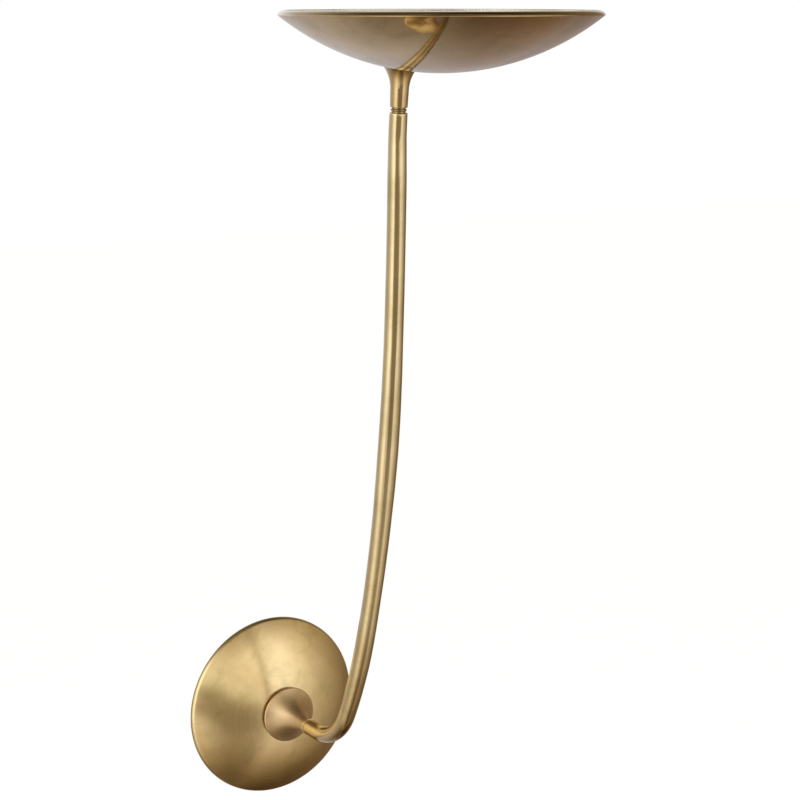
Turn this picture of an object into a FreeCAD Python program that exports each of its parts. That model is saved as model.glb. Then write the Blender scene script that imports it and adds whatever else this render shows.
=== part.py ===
"""Uplighter wall sconce: a domed wall cover, a trumpet bell, one long bent tube arm and a shallow brass dish.

The wall is the plane Y = 0 and the fixture stands out along -Y, with +Z up. The origin is where the
fixture's centre line meets the wall, in the middle of the two box-screw slots of the mounting bar.
All sizes are millimetres and degrees. Every radius is named a radius, every width a width.
"""
import FreeCAD, Part
import math
import os
import re
import Sketcher

SIZES = {
    # Wall cover: a spun dome with a short straight edge that stands on the wall
    "cover_radius": 63.5,
    "cover_depth": 24.5,
    "cover_edge": 2.0,
    "cover_wall": 1.0,
    # Mounting bar on the junction box, behind the cover
    "bar_length": 108.0,
    "bar_width": 24.0,
    "bar_thickness": 2.0,
    "bar_corner": 3.0,
    "slot_spacing": 88.9,
    "slot_length": 14.0,
    "slot_width": 4.6,
    # Threaded centre tube, its nut and tooth washer, and the bush that guards the lead
    "nipple_radius": 5.0,
    "nipple_bore": 3.5,
    "nipple_behind": 12.0,
    "nipple_reach": 41.0,
    "nut_radius": 8.6,
    "nut_height": 3.5,
    "washer_radius": 8.0,
    "washer_thickness": 0.8,
    "bush_flange": 1.5,
    "bush_length": 8.0,
    "bush_bore": 2.6,
    # Earth screw and earth lead on the bar's box side
    "earth_offset": 22.0,
    "earth_head_radius": 4.0,
    "earth_head_height": 2.4,
    "earth_shank_radius": 1.9,
    "earth_shank_length": 6.0,
    "earth_lead_radius": 0.9,
    "earth_lead_run": 9.0,
    "earth_lead_bend": 7.0,
    # Seat ring and bell
    "seat_radius": 16.5,
    "seat_lift": 0.5,
    "bell_base_radius": 19.2,
    "bell_edge": 1.0,
    "bell_length": 29.3,
    "bell_nose_radius": 5.5,
    "bell_nose_run": 4.0,
    "bell_hollow_radius": 13.0,
    "bell_hollow_depth": 9.0,
    "bell_hollow_shoulder": 1.6,
    "bell_thread_end": 17.0,
    # Ring and threaded spigot between the bell and the arm
    "ring_radius": 5.75,
    "ring_width": 1.0,
    "spigot_radius": 4.0,
    "spigot_bore": 3.0,
    "spigot_in_bell": 10.0,
    "spigot_in_tube": 9.0,
    # Arm: one tube, straight out of the bell, bent up, then swept in three ever flatter bends and a small
    # counter-bend that tips the neck outwards; the upper bend's radius follows from the height
    "arm_height": 424.0,
    "tube_radius": 6.0,
    "tube_bore": 5.0,
    "root_run": 10.4,
    "elbow_bend": 45.8,
    "elbow_angle": 61.9,
    "lower_bend": 332.0,
    "lower_angle": 11.5,
    "middle_bend": 845.0,
    "middle_angle": 12.78,
    "upper_angle": 2.94,
    "counter_bend": 142.0,
    "counter_angle": 4.02,
    "tip_run": 10.0,
    # Coupler with a bead in the groove between arm and neck
    "groove_width": 3.0,
    "coupler_radius": 4.5,
    "coupler_bore": 3.0,
    "coupler_in_arm": 9.0,
    "coupler_in_neck": 9.0,
    "bead_radius": 4.95,
    "bead_width": 1.2,
    # Neck: a turned trumpet whose top is cut to the underside of the dish
    "neck_radius": 5.35,
    "neck_round": 0.6,
    "neck_waist_radius": 5.65,
    "neck_waist_height": 10.5,
    "neck_flare": 22.0,
    "neck_foot_radius": 13.0,
    "neck_length": 28.5,
    "neck_thread_depth": 10.0,
    # Threaded stud, saddle washer and nut that clamp the dish on the neck
    "stud_radius": 4.0,
    "stud_bore": 3.0,
    "stud_above": 11.0,
    "saddle_radius": 9.0,
    "saddle_height": 6.0,
    "stud_nut_radius": 7.5,
    "stud_nut_height": 4.0,
    # Dish: a spun spherical cap with a short inward lip
    "dish_radius": 94.5,
    "dish_depth": 33.2,
    "dish_wall": 1.2,
    "neck_ratio": 0.4677,
    "lip_height": 2.8,
    "lip_inset": 4.0,
    "lip_bow": 4.5,
    # Light engine in the dish
    "plate_clearance": 0.4,
    "plate_thickness": 3.0,
    "pillar_inset": 14.9,
    "pillar_radius": 3.5,
    "pillar_count": 3,
    "plate_screw_radius": 1.5,
    "plate_screw_head": 2.9,
    "plate_screw_head_height": 1.8,
    "plate_screw_length": 7.0,
    "board_gap": 2.0,
    "board_thickness": 1.6,
    "board_screw_inset": 3.5,
    "board_screw_count": 3,
    "board_screw_radius": 1.25,
    "board_screw_head": 2.3,
    "board_screw_head_height": 1.6,
    "board_screw_length": 4.2,
    "chip_side": 3.0,
    "chip_height": 0.7,
    "outer_chip_ratio": 0.69,
    "outer_chip_count": 12,
    "inner_chip_ratio": 0.36,
    "inner_chip_count": 6,
    # White reflector pan and frosted diffuser
    "pan_wall": 0.8,
    "pan_foot_width": 12.0,
    "pan_shelf_width": 5.7,
    "diffuser_drop": 1.5,
    "diffuser_thickness": 2.5,
    "diffuser_gap": 0.8,
    # Wiring
    "lead_radius": 2.2,
    "grommet_radius": 5.0,
    "grommet_bore": 2.9,
    "grommet_flange": 1.5,
    "grommet_flange_height": 1.2,
    "terminal_length": 16.0,
    "terminal_width": 10.0,
    "terminal_clearance": 1.8,
    "board_lead_radius": 0.8,
    "board_lead_bend": 3.0,
    "board_lead_run": 0.5,
    "board_lead_spacing": 7.0,
    "driver_length": 9.0,
    "driver_width": 6.0,
    "driver_height": 2.2,
    "driver_cap_radius": 2.5,
    "driver_cap_height": 2.6,
    "driver_cap_offset": 6.0,
    "connector_length": 18.0,
    "connector_width": 20.0,
    "connector_height": 12.0,
    # Clearances
    "fit": 0.05,
    "running_gap": 0.3,
}

PATTERN = re.compile(r"\b(" + "|".join(SIZES) + r")\b")
WALL_FRAME = FreeCAD.Placement(FreeCAD.Vector(0, 0, 0), FreeCAD.Rotation(FreeCAD.Vector(1, 0, 0), 90))

doc = FreeCAD.newDocument("uplighter_wall_sconce")
sheet = doc.addObject("Spreadsheet::Sheet", "sizes")
for row, (alias, value) in enumerate(SIZES.items(), start=1):
    sheet.set(f"A{row}", alias)
    sheet.set(f"B{row}", str(value))
    sheet.setAlias(f"B{row}", alias)
doc.recompute()

nodes = {}


def formula(text):
    """A size expression written with bare size names, as the sheet's own expression."""
    return PATTERN.sub(r"sizes.\1", text)


def value(text):
    """The number that a size expression gives now."""
    return float(sheet.evalExpression(formula(text)))


def bind(item, **settings):
    """Ties each named property of an object to a size expression."""
    for name, text in settings.items():
        item.setExpression(name, formula(text))


def keep(item, name):
    """Names a finished sub-part."""
    item.Label = name
    nodes[name] = item
    return item


# Sketches


def origin_plane(body, role):
    return next(item for item in body.Origin.OriginFeatures if item.Role == role)


def sketch_on(body, role, name):
    sketch = body.newObject("Sketcher::SketchObject", name)
    sketch.AttachmentSupport = (origin_plane(body, role), [""])
    sketch.MapMode = "FlatFace"
    return sketch


def tie(sketch, text, kind, *where):
    """Adds one dimension that follows a size expression."""
    number = sketch.addConstraint(Sketcher.Constraint(kind, *where, value(text)))
    sketch.setExpression(f"Constraints[{number}]", formula(text))


def pin(sketch, edge, end, across, up):
    """Places an edge's end by two size expressions measured from the sketch's origin."""
    for text, kind, axis in ((across, "DistanceX", -2), (up, "DistanceY", -1)):
        if text == "0":
            sketch.addConstraint(Sketcher.Constraint("PointOnObject", edge, end, axis))
        else:
            tie(sketch, text, kind, -1, 1, edge, end)


def arc_between(start, finish, radius, left):
    """The short arc from start to finish, turning left or right on the way."""
    chord = finish - start
    rise = math.sqrt(max(radius**2 - (chord.Length / 2) ** 2, 0))
    normal = FreeCAD.Vector(-chord.y, chord.x, 0).normalize() * (1 if left else -1)
    centre = (start + finish) / 2 + normal * rise
    first, last = (start, finish) if left else (finish, start)
    angles = [math.atan2(point.y - centre.y, point.x - centre.x) for point in (first, last)]
    return Part.ArcOfCircle(Part.Circle(centre, FreeCAD.Vector(0, 0, 1), radius), *angles)


def outline(sketch, corners):
    """A closed outline through corners (across, up), each given as size expressions.

    A third item makes the edge that leads to the corner an arc of that radius, turning "left" or "right",
    which is the fourth item.
    """
    points = [FreeCAD.Vector(value(corner[0]), value(corner[1]), 0) for corner in corners]
    ends = []
    for number, corner in enumerate(corners):
        start, finish = points[number - 1], points[number]
        if len(corner) == 2:
            edge = sketch.addGeometry(Part.LineSegment(start, finish))
            ends.append((edge, 1, 2))
            continue
        left = corner[3] == "left"
        edge = sketch.addGeometry(arc_between(start, finish, value(corner[2]), left))
        ends.append((edge, 1, 2) if left else (edge, 2, 1))
        tie(sketch, corner[2], "Radius", edge)
    for number, (edge, _, finish) in enumerate(ends):
        following, start, _ = ends[(number + 1) % len(ends)]
        sketch.addConstraint(Sketcher.Constraint("Coincident", edge, finish, following, start))
        pin(sketch, edge, finish, *corners[number][:2])


def circle(sketch, radius, across="0", up="0"):
    centre = FreeCAD.Vector(value(across), value(up), 0)
    edge = sketch.addGeometry(Part.Circle(centre, FreeCAD.Vector(0, 0, 1), value(radius)))
    pin(sketch, edge, 3, across, up)
    tie(sketch, radius, "Radius", edge)


def slot(sketch, left, right, half_width):
    """A round-ended slot along the sketch's X axis, from one end's centre to the other's."""
    ends = []
    for across, first in ((left, 90), (right, -90)):
        bow = Part.Circle(FreeCAD.Vector(value(across), 0, 0), FreeCAD.Vector(0, 0, 1), value(half_width))
        edge = sketch.addGeometry(Part.ArcOfCircle(bow, math.radians(first), math.radians(first + 180)))
        pin(sketch, edge, 3, across, "0")
        tie(sketch, half_width, "Radius", edge)
        ends.append(edge)
    for start, finish in (ends, reversed(ends)):
        points = [sketch.getPoint(start, 2), sketch.getPoint(finish, 1)]
        line = sketch.addGeometry(Part.LineSegment(*points))
        sketch.addConstraint(Sketcher.Constraint("Tangent", start, 2, line, 1))
        sketch.addConstraint(Sketcher.Constraint("Tangent", line, 2, finish, 1))


def box_corners(left, right, low, high):
    return [(left, low), (right, low), (right, high), (left, high)]


def rounded_box_corners(half_width, half_height, corner):
    """A box about the sketch's origin with four equal round corners."""
    short_width, short_height = f"{half_width} - {corner}", f"{half_height} - {corner}"
    return [
        (f"-({short_width})", f"-({half_height})"),
        (short_width, f"-({half_height})"),
        (half_width, f"-({short_height})", corner, "left"),
        (half_width, short_height),
        (short_width, half_height, corner, "left"),
        (f"-({short_width})", half_height),
        (f"-({half_width})", short_height, corner, "left"),
        (f"-({half_width})", f"-({short_height})"),
        (f"-({short_width})", f"-({half_height})", corner, "left"),
    ][1:]


def tube_corners(inner, outer, low, high):
    """A plain ring's outline, for turning."""
    return [(inner, low), (outer, low), (outer, high), (inner, high)]


# Solids


def new_body(name, placement):
    body = doc.addObject("PartDesign::Body", name)
    body.Placement = placement
    return body


def turned(name, corners, placement=FreeCAD.Placement()):
    """A piece turned about its own Z axis from an outline of radius and height."""
    body = new_body(name, placement)
    sketch = sketch_on(body, "XZ_Plane", name + "_outline")
    outline(sketch, corners)
    turn = body.newObject("PartDesign::Revolution", name + "_turning")
    turn.Profile = sketch
    turn.ReferenceAxis = (sketch, ["V_Axis"])
    turn.Angle = 360
    body.Tip = turn
    return body


def ring_of_turned(name, corners, ring_radius, count, placement):
    """Equal turned pieces on a circle about the placement's Z axis, at the same height."""
    body = new_body(name, placement)
    body.AllowCompound = True
    sketch = sketch_on(body, "XZ_Plane", name + "_outline")
    outline(sketch, [(f"{ring_radius} + {corner[0]}", *corner[1:]) for corner in corners])
    axis = sketch.addGeometry(Part.LineSegment(FreeCAD.Vector(value(ring_radius), -1, 0),
                                               FreeCAD.Vector(value(ring_radius), 1, 0)), True)
    sketch.addConstraint(Sketcher.Constraint("Vertical", axis))
    pin(sketch, axis, 1, ring_radius, "0 - 1")
    tie(sketch, "2", "Distance", axis)
    turn = body.newObject("PartDesign::Revolution", name + "_turning")
    turn.Profile = sketch
    turn.ReferenceAxis = (sketch, ["Axis0"])
    turn.Angle = 360
    pattern_on_ring(body, turn, count)
    return body


def pattern_on_ring(body, feature, count):
    body.Tip = feature
    doc.recompute()
    pattern = body.newObject("PartDesign::PolarPattern", body.Name + "_pattern")
    pattern.Originals = [feature]
    pattern.Axis = (origin_plane(body, "Z_Axis"), [""])
    pattern.Angle = 360
    bind(pattern, Occurrences=count)
    body.Tip = pattern


def padded(body, sketch, length, backwards=False):
    pad = body.newObject("PartDesign::Pad", sketch.Name + "_pad")
    pad.Profile = sketch
    pad.Reversed = backwards
    bind(pad, Length=length)
    body.Tip = pad
    return pad


def hex_nut(name, across_corners, height, bore, placement):
    """A hexagon nut: a prism with its bore cut through."""
    prism = doc.addObject("Part::Prism", name + "_blank")
    prism.Polygon = 6
    bind(prism, Circumradius=across_corners, Height=height)
    hole = doc.addObject("Part::Cylinder", name + "_bore")
    bind(hole, Radius=bore, Height=height)
    for item in (prism, hole):
        item.Placement = placement
    return combine("Part::Cut", name, prism, hole)


def combine(kind, name, base, tool):
    item = doc.addObject(kind, name)
    item.Base = base
    item.Tool = tool
    return keep(item, name)


def sphere(name, radius, placement):
    ball = doc.addObject("Part::Sphere", name)
    bind(ball, Radius=radius)
    ball.Placement = placement
    return ball


def cylinder(name, radius, height, placement):
    bar = doc.addObject("Part::Cylinder", name)
    bind(bar, Radius=radius, Height=height)
    bar.Placement = placement
    return bar


# Arm route, shared by the tube and the lead inside it

ARM_START = "(cover_depth + seat_lift + bell_length + ring_width)"
LOWER_CLIMB = "(elbow_angle + lower_angle)"
MIDDLE_CLIMB = f"({LOWER_CLIMB} + middle_angle)"
UPPER_CLIMB = f"({MIDDLE_CLIMB} + upper_angle)"
ARM_CLIMB = f"({UPPER_CLIMB} - counter_angle)"
LOWER_RISE = f"(elbow_bend * (1 - cos(elbow_angle)) + lower_bend * (cos(elbow_angle) - cos({LOWER_CLIMB})))"
MIDDLE_RISE = f"(middle_bend * (cos({LOWER_CLIMB}) - cos({MIDDLE_CLIMB})))"
TIP_RISE = f"(counter_bend * (cos({ARM_CLIMB}) - cos({UPPER_CLIMB})) + tip_run * sin({ARM_CLIMB}))"
UPPER_RISE = f"(arm_height - {LOWER_RISE} - {MIDDLE_RISE} - {TIP_RISE})"
UPPER_BEND = f"({UPPER_RISE} / (cos({MIDDLE_CLIMB}) - cos({UPPER_CLIMB})))"
BENDS = [
    ("elbow_bend", "elbow_angle", "left"),
    ("lower_bend", "lower_angle", "left"),
    ("middle_bend", "middle_angle", "left"),
    (UPPER_BEND, "upper_angle", "left"),
    ("counter_bend", "counter_angle", "right"),
]


def arm_route():
    """Distance from the wall, height and lean from upright of the arm's upper end."""
    out, up, climb = value(ARM_START + " + root_run"), 0.0, 0.0
    for bend, angle, side in BENDS:
        radius, turn = value(bend), math.radians(value(angle))
        turn = turn if side == "left" else -turn
        chord = 2 * radius * math.sin(abs(turn) / 2)
        out += chord * math.cos(climb + turn / 2)
        up += chord * math.sin(climb + turn / 2)
        climb += turn
    out += value("tip_run") * math.cos(climb)
    up += value("tip_run") * math.sin(climb)
    return out, up, 90 - math.degrees(climb)


def draw_arm_route(sketch, start, first_run, last_run):
    """The arm's centre line in the upright plane: a run, five tangent bends and a run."""
    point = FreeCAD.Vector(-value(start), 0, 0)
    heading = math.pi
    finish = point + FreeCAD.Vector(-value(first_run), 0, 0)
    edge = sketch.addGeometry(Part.LineSegment(point, finish))
    sketch.addConstraint(Sketcher.Constraint("Horizontal", edge))
    pin(sketch, edge, 1, f"-({start})", "0")
    tie(sketch, first_run, "Distance", edge)
    last = (edge, 2)
    for bend, angle, side in BENDS:
        # In this sketch the wall is on the right, so a bend to the arm's left is drawn clockwise
        radius, turn = value(bend), math.radians(value(angle))
        hand = -1 if side == "left" else 1
        point = finish
        centre = point + FreeCAD.Vector(-math.sin(heading), math.cos(heading), 0) * (hand * radius)
        begin = math.atan2(point.y - centre.y, point.x - centre.x)
        end = begin + hand * turn
        finish = centre + FreeCAD.Vector(math.cos(end), math.sin(end), 0) * radius
        round_line = Part.Circle(centre, FreeCAD.Vector(0, 0, 1), radius)
        edge = sketch.addGeometry(Part.ArcOfCircle(round_line, min(begin, end), max(begin, end)))
        near, far = (1, 2) if hand > 0 else (2, 1)
        sketch.addConstraint(Sketcher.Constraint("Tangent", *last, edge, near))
        tie(sketch, bend, "Radius", edge)
        number = sketch.addConstraint(Sketcher.Constraint("Angle", edge, turn))
        sketch.setExpression(f"Constraints[{number}]", formula(f"{angle} * 1 deg"))
        last = (edge, far)
        heading += hand * turn
    ahead = FreeCAD.Vector(math.cos(heading), math.sin(heading), 0)
    edge = sketch.addGeometry(Part.LineSegment(finish, finish + ahead * value(last_run)))
    sketch.addConstraint(Sketcher.Constraint("Tangent", *last, edge, 1))
    tie(sketch, last_run, "Distance", edge)


def piped(name, start, first_run, last_run, radii):
    """A round section carried along the arm's route, hollow when it has two radii."""
    body = new_body(name, FreeCAD.Placement())
    route = sketch_on(body, "YZ_Plane", name + "_route")
    draw_arm_route(route, start, first_run, last_run)
    section = sketch_on(body, "XZ_Plane", name + "_section")
    bind(section, **{"AttachmentOffset.Base.z": start})
    for radius in radii:
        circle(section, radius)
    pipe = body.newObject("PartDesign::AdditivePipe", name + "_sweep")
    pipe.Profile = section
    pipe.Spine = (route, [])
    body.Tip = pipe
    return keep(body, name)


# Frames of the upper pieces

arm_out, arm_up, arm_lean = arm_route()
lean = math.radians(arm_lean)
NECK_FRAME = FreeCAD.Placement(
    FreeCAD.Vector(0, -arm_out, arm_up), FreeCAD.Rotation(FreeCAD.Vector(1, 0, 0), arm_lean)
)
CAP_RADIUS = "((dish_radius ^ 2 + dish_depth ^ 2) / (2 * dish_depth))"
DISH_OFFSET = "(dish_radius * neck_ratio)"
SEAT_HEIGHT = f"({CAP_RADIUS} - sqrt({CAP_RADIUS} ^ 2 - {DISH_OFFSET} ^ 2))"
NECK_TOP = "(groove_width + neck_length)"
cap_radius = value(CAP_RADIUS)
dish_out = arm_out + value(NECK_TOP) * math.sin(lean) + value(DISH_OFFSET)
dish_up = arm_up + value(NECK_TOP) * math.cos(lean) - value(SEAT_HEIGHT)
DISH_FRAME = FreeCAD.Placement(FreeCAD.Vector(0, -dish_out, dish_up), FreeCAD.Rotation())
CAP_CENTRE = DISH_FRAME.multiply(FreeCAD.Placement(FreeCAD.Vector(0, 0, cap_radius), FreeCAD.Rotation()))


def inner_cap_radius_at(height):
    """Size expression for the bowl's inner radius at a height above the dish's lowest outer point."""
    inner = f"({CAP_RADIUS} - dish_wall)"
    rise = f"({height} - dish_wall)"
    return f"sqrt(2 * {inner} * {rise} - {rise} ^ 2)"


# Levels and radii of the light engine, above and about the dish's lowest point
PLATE_HEIGHT = f"({SEAT_HEIGHT} + stud_above + grommet_flange_height + plate_clearance)"
PLATE_TOP = f"({PLATE_HEIGHT} + plate_thickness)"
BOARD_TOP = f"({PLATE_TOP} + board_thickness)"
PAN_FOOT_TOP = f"({PLATE_TOP} + pan_wall)"
SHELF_HEIGHT = "(dish_depth + lip_height - diffuser_drop - diffuser_thickness - pan_wall)"
PLATE_RADIUS = f"({inner_cap_radius_at(PLATE_HEIGHT)} - running_gap)"
PILLAR_RING = f"({PLATE_RADIUS} - pillar_inset)"
LEAD_OFFSET = f"({DISH_OFFSET} - ({PLATE_HEIGHT} + plate_thickness / 2 - {SEAT_HEIGHT}) / tan({ARM_CLIMB}))"
BOARD_RADIUS = f"({LEAD_OFFSET} - terminal_width / 2 - board_gap)"
BOARD_SCREW_RING = f"({BOARD_RADIUS} - board_screw_inset)"
OUTER_CHIP_RING = f"({BOARD_RADIUS} * outer_chip_ratio)"
INNER_CHIP_RING = f"({BOARD_RADIUS} * inner_chip_ratio)"
TERMINAL_HEIGHT = f"({SHELF_HEIGHT} + pan_wall - {PLATE_TOP} - terminal_clearance)"


# Wall side

DOME_RADIUS = "((cover_radius ^ 2 + (cover_depth - cover_edge) ^ 2) / (2 * (cover_depth - cover_edge)))"
BELL_BASE = "(cover_depth + seat_lift)"
BELL_NOSE = "(cover_depth + seat_lift + bell_length)"
NUT_SEAT = "(bar_thickness + washer_thickness)"


def dome_height_at(radius):
    """Size expression for the dome's outer distance from the wall at a radius."""
    return f"(cover_depth - {DOME_RADIUS} + sqrt({DOME_RADIUS} ^ 2 - ({radius}) ^ 2))"


def make_wall_cover():
    hole = "(nipple_radius + fit)"
    inner_dome = f"({DOME_RADIUS} - cover_wall)"
    inner_at_hole = f"(cover_depth - {DOME_RADIUS} + sqrt({inner_dome} ^ 2 - {hole} ^ 2))"
    inner_radius = "(cover_radius - cover_wall)"
    inner_at_edge = f"(cover_depth - {DOME_RADIUS} + sqrt({inner_dome} ^ 2 - {inner_radius} ^ 2))"
    corners = [
        (hole, inner_at_hole),
        (inner_radius, inner_at_edge, inner_dome, "right"),
        (inner_radius, "0"),
        ("cover_radius", "0"),
        ("cover_radius", "cover_edge"),
        (hole, dome_height_at(hole), DOME_RADIUS, "left"),
    ]
    keep(turned("wall_cover", corners, WALL_FRAME), "wall_cover")


def make_mounting_bar():
    """A steel strap with a tapped centre hole, a tapped earth hole and a slot for each box screw."""
    body = new_body("mounting_bar", FreeCAD.Placement())
    strap = sketch_on(body, "XZ_Plane", "strap")
    outline(strap, rounded_box_corners("bar_length / 2", "bar_width / 2", "bar_corner"))
    padded(body, strap, "bar_thickness")
    holes = sketch_on(body, "XZ_Plane", "bar_holes")
    circle(holes, "nipple_radius + fit")
    circle(holes, "earth_shank_radius + fit", "earth_offset")
    inner_end = "(slot_spacing - slot_length + slot_width) / 2"
    outer_end = "(slot_spacing + slot_length - slot_width) / 2"
    slot(holes, inner_end, outer_end, "slot_width / 2")
    slot(holes, f"-{outer_end}", f"-{inner_end}", "slot_width / 2")
    cut = body.newObject("PartDesign::Pocket", "bar_openings")
    cut.Profile = holes
    cut.Type = "ThroughAll"
    cut.Midplane = True
    body.Tip = cut
    keep(body, "mounting_bar")


def make_centre_nipple():
    corners = tube_corners("nipple_bore", "nipple_radius", "-nipple_behind", "nipple_reach")
    keep(turned("centre_nipple", corners, WALL_FRAME), "centre_nipple")


def make_lock_washer():
    corners = tube_corners("nipple_radius + fit", "washer_radius", "bar_thickness", NUT_SEAT)
    keep(turned("lock_washer", corners, WALL_FRAME), "lock_washer")


def make_lock_nut():
    seat = WALL_FRAME.multiply(FreeCAD.Placement(FreeCAD.Vector(0, 0, value(NUT_SEAT)), FreeCAD.Rotation()))
    hex_nut("lock_nut", "nut_radius", "nut_height", "nipple_radius + fit", seat)


def make_nipple_bush():
    """A flanged bush in the nipple's box end, so that no thread touches the lead."""
    corners = [
        ("bush_bore", "-(nipple_behind + bush_flange)"),
        ("nipple_radius", "-(nipple_behind + bush_flange)"),
        ("nipple_radius", "-nipple_behind"),
        ("nipple_bore - fit", "-nipple_behind"),
        ("nipple_bore - fit", "bush_length - nipple_behind"),
        ("bush_bore", "bush_length - nipple_behind"),
    ]
    keep(turned("nipple_bush", corners, WALL_FRAME), "nipple_bush")


def make_earth_screw():
    place = FreeCAD.Placement(FreeCAD.Vector(value("earth_offset"), 0, 0), WALL_FRAME.Rotation)
    corners = [
        ("0", "-earth_head_height"),
        ("earth_head_radius", "-earth_head_height"),
        ("earth_head_radius", "0"),
        ("earth_shank_radius", "0"),
        ("earth_shank_radius", "earth_shank_length"),
        ("0", "earth_shank_length"),
    ]
    keep(turned("earth_screw", corners, place), "earth_screw")


def make_earth_lead():
    """A short insulated wire from the earth screw's head round to the side of the box connector."""
    body = new_body("earth_lead", FreeCAD.Placement())
    route = sketch_on(body, "XY_Plane", "earth_route")
    begin = "earth_head_height + running_gap"
    turn_at = f"{begin} + earth_lead_run"
    side = "connector_width / 2 + running_gap"
    corner_across = "earth_offset - earth_lead_bend"
    corner_up = f"{turn_at} + earth_lead_bend"
    points = [FreeCAD.Vector(value(x), value(y), 0) for x, y in
              (("earth_offset", begin), ("earth_offset", turn_at), (corner_across, corner_up), (side, corner_up))]
    first = route.addGeometry(Part.LineSegment(points[0], points[1]))
    bend = route.addGeometry(arc_between(points[1], points[2], value("earth_lead_bend"), True))
    last = route.addGeometry(Part.LineSegment(points[2], points[3]))
    route.addConstraint(Sketcher.Constraint("Tangent", first, 2, bend, 1))
    route.addConstraint(Sketcher.Constraint("Tangent", bend, 2, last, 1))
    route.addConstraint(Sketcher.Constraint("Vertical", first))
    route.addConstraint(Sketcher.Constraint("Horizontal", last))
    tie(route, "earth_lead_bend", "Radius", bend)
    pin(route, first, 1, "earth_offset", begin)
    pin(route, last, 2, side, corner_up)
    section = sketch_on(body, "XZ_Plane", "earth_section")
    bind(section, **{"AttachmentOffset.Base.z": f"-({begin})"})
    circle(section, "earth_lead_radius", "earth_offset")
    pipe = body.newObject("PartDesign::AdditivePipe", "earth_sweep")
    pipe.Profile = section
    pipe.Spine = (route, [])
    body.Tip = pipe
    keep(body, "earth_lead")


def make_seat_ring():
    """The dark ring that lifts the bell's edge clear of the dome; its back is cut to the dome."""
    hole = "(nipple_radius + fit)"
    corners = [
        (hole, dome_height_at(hole)),
        ("seat_radius", dome_height_at("seat_radius"), DOME_RADIUS, "right"),
        ("seat_radius", BELL_BASE),
        (hole, BELL_BASE),
    ]
    keep(turned("seat_ring", corners, WALL_FRAME), "seat_ring")


def make_bell():
    """Turned trumpet: a thin straight edge, one long hollow flare and a short straight nose."""
    flare_rise = "(bell_length - bell_edge - bell_nose_run)"
    flare_step = "(bell_base_radius - bell_nose_radius)"
    flare = f"(({flare_step} ^ 2 + {flare_rise} ^ 2) / (2 * {flare_step}))"
    thread = "(nipple_radius + fit)"
    spigot = "(spigot_radius + fit)"
    corners = [
        ("bell_hollow_radius", BELL_BASE),
        ("bell_base_radius", BELL_BASE),
        ("bell_base_radius", f"{BELL_BASE} + bell_edge"),
        ("bell_nose_radius", f"{BELL_NOSE} - bell_nose_run", flare, "right"),
        ("bell_nose_radius", BELL_NOSE),
        (spigot, BELL_NOSE),
        (spigot, f"{BELL_BASE} + bell_thread_end"),
        (thread, f"{BELL_BASE} + bell_thread_end"),
        (thread, f"{BELL_BASE} + bell_hollow_depth"),
        ("nipple_radius + bell_hollow_shoulder", f"{BELL_BASE} + bell_hollow_depth"),
    ]
    keep(turned("bell", corners, WALL_FRAME), "bell")


def make_joint_ring():
    corners = tube_corners("spigot_radius + fit", "ring_radius", BELL_NOSE, f"{BELL_NOSE} + ring_width")
    keep(turned("joint_ring", corners, WALL_FRAME), "joint_ring")


def make_root_spigot():
    """Stepped hollow spigot: its thread screws into the bell's nose, its plain end is fixed in the arm."""
    corners = [
        ("spigot_bore", f"{BELL_NOSE} - spigot_in_bell"),
        ("spigot_radius", f"{BELL_NOSE} - spigot_in_bell"),
        ("spigot_radius", ARM_START),
        ("tube_bore - fit", ARM_START),
        ("tube_bore - fit", f"{ARM_START} + spigot_in_tube"),
        ("spigot_bore", f"{ARM_START} + spigot_in_tube"),
    ]
    keep(turned("root_spigot", corners, WALL_FRAME), "root_spigot")


# Arm and neck


def make_arm_tube():
    piped("arm_tube", ARM_START, "root_run", "tip_run", ("tube_radius", "tube_bore"))


def make_neck_coupler():
    """Hollow coupler: a plain end in the arm, a bead between two dark steps in the groove, an end in the neck."""
    low = "(groove_width - bead_width) / 2"
    high = "(groove_width + bead_width) / 2"
    corners = [
        ("coupler_bore", "-coupler_in_arm"),
        ("tube_bore - fit", "-coupler_in_arm"),
        ("tube_bore - fit", "0"),
        ("coupler_radius", "0"),
        ("coupler_radius", low),
        ("bead_radius", low),
        ("bead_radius", high),
        ("coupler_radius", high),
        ("coupler_radius", "groove_width + coupler_in_neck"),
        ("coupler_bore", "groove_width + coupler_in_neck"),
    ]
    keep(turned("neck_coupler", corners, NECK_FRAME), "neck_coupler")


def make_neck():
    """Turned neck, straight above the groove and flared at the top, where the dish's round underside cuts it."""
    flare_step = "(neck_foot_radius - neck_waist_radius)"
    flare_rise = f"sqrt(neck_flare ^ 2 - (neck_flare - {flare_step}) ^ 2)"
    inner = "(coupler_radius + fit)"
    socket_end = "(groove_width + coupler_in_neck + running_gap)"
    stud = "(stud_radius + fit)"
    over = f"({NECK_TOP} + saddle_height)"
    corners = [
        (inner, "groove_width"),
        ("neck_radius - neck_round", "groove_width"),
        ("neck_radius", "groove_width + neck_round", "neck_round", "left"),
        ("neck_waist_radius", "groove_width + neck_waist_height"),
        ("neck_foot_radius", f"groove_width + neck_waist_height + {flare_rise}", "neck_flare", "right"),
        ("neck_foot_radius", over),
        (stud, over),
        (stud, socket_end),
        (inner, socket_end),
    ]
    blank = turned("neck_blank", corners, NECK_FRAME)
    underside = sphere("neck_saddle", CAP_RADIUS, CAP_CENTRE)
    combine("Part::Cut", "neck", blank, underside)


def make_neck_stud():
    low = f"{NECK_TOP} - neck_thread_depth"
    corners = tube_corners("stud_bore", "stud_radius", low, f"{NECK_TOP} + stud_above")
    keep(turned("neck_stud", corners, NECK_FRAME), "neck_stud")


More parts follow.
